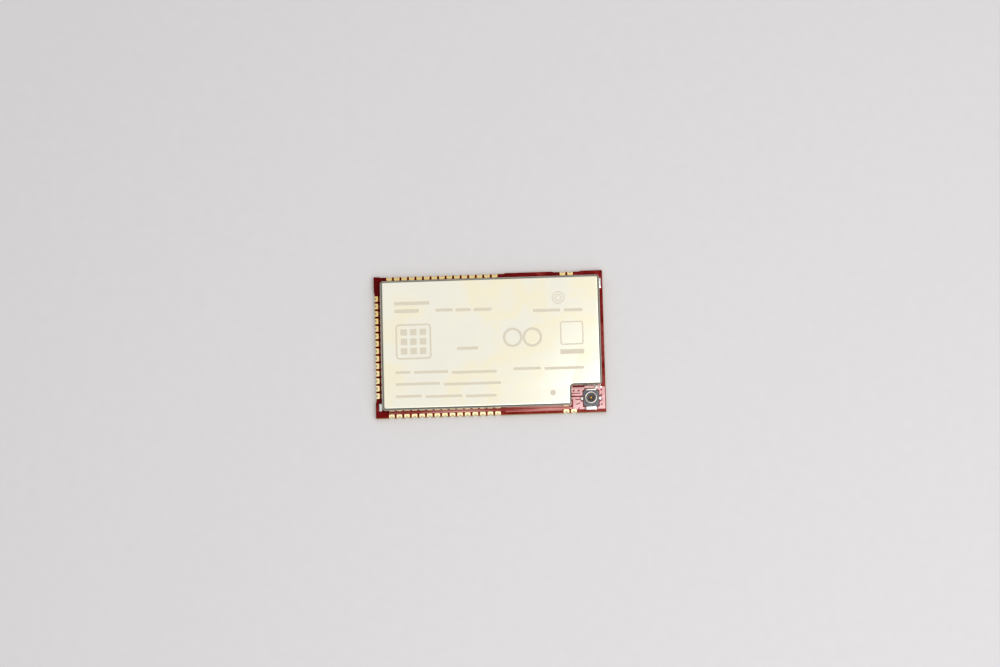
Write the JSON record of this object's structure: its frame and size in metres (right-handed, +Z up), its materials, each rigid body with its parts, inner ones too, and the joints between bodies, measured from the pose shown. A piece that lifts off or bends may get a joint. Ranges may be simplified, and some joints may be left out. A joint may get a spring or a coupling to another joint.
{
  "type": "lora radio module",
  "caption": "Small long-range radio module: dark red board with castellated gold edge pads, a drawn metal shield can and a coaxial antenna receptacle in the open corner.",
  "frame": {"origin": "centre of the board's outline, on the board's underside", "axes": "+X along the board towards the end with the antenna receptacle, +Y across the board away from the receptacle's corner, +Z up out of the board towards the shield can"},
  "size_m": [0.0384, 0.024, 0.003],
  "materials": {
    "board_mask": "glossy dark red mask over glass-fibre laminate",
    "gold_plating": "thin bright gold plating over copper",
    "tinned_steel": "smooth, slightly satin tin plate",
    "solder": "bright reflowed solder",
    "dark_polymer": "matt, glass-filled",
    "silver_plating": "bright silver plating",
    "black_epoxy": "fine matt moulding compound",
    "crystal_ceramic": "matt fired ceramic",
    "crystal_lid": "plain nickel-iron lid",
    "ferrite": "dull grey ferrite",
    "coil_ceramic": "white ceramic",
    "copper_wire": "enamelled copper wire",
    "capacitor_ceramic": "tan fired ceramic",
    "resistor_glaze": "black glass glaze"
  },
  "bodies": {
    "root": {"board": "board_mask", "north_edge_pads": "gold_plating", "south_edge_pads": "gold_plating", "west_edge_pads": "gold_plating", "shield_can": "tinned_steel", "shield_solder": "solder", "coax_body": "dark_polymer", "coax_shell": "silver_plating", "coax_contact": "gold_plating", "coax_solder": "solder", "radio_chip": "black_epoxy", "radio_chip_terminals": "solder", "power_amplifier": "black_epoxy", "power_amplifier_terminals": "solder", "voltage_regulator": "black_epoxy", "voltage_regulator_leads": "solder", "antenna_switch": "black_epoxy", "antenna_switch_leads": "solder", "receive_amplifier": "black_epoxy", "receive_amplifier_leads": "solder", "main_crystal_base": "crystal_ceramic", "main_crystal_lid": "crystal_lid", "clock_crystal_base": "crystal_ceramic", "clock_crystal_lid": "crystal_lid", "supply_choke": "ferrite", "supply_choke_plates": "solder", "filter_coil_cores": "coil_ceramic", "filter_coil_windings": "copper_wire", "capacitors": "capacitor_ceramic", "capacitor_caps": "solder", "resistors": "resistor_glaze", "resistor_caps": "solder", "bulk_capacitors": "capacitor_ceramic", "bulk_capacitor_caps": "solder"}
  },
  "joints": []
}
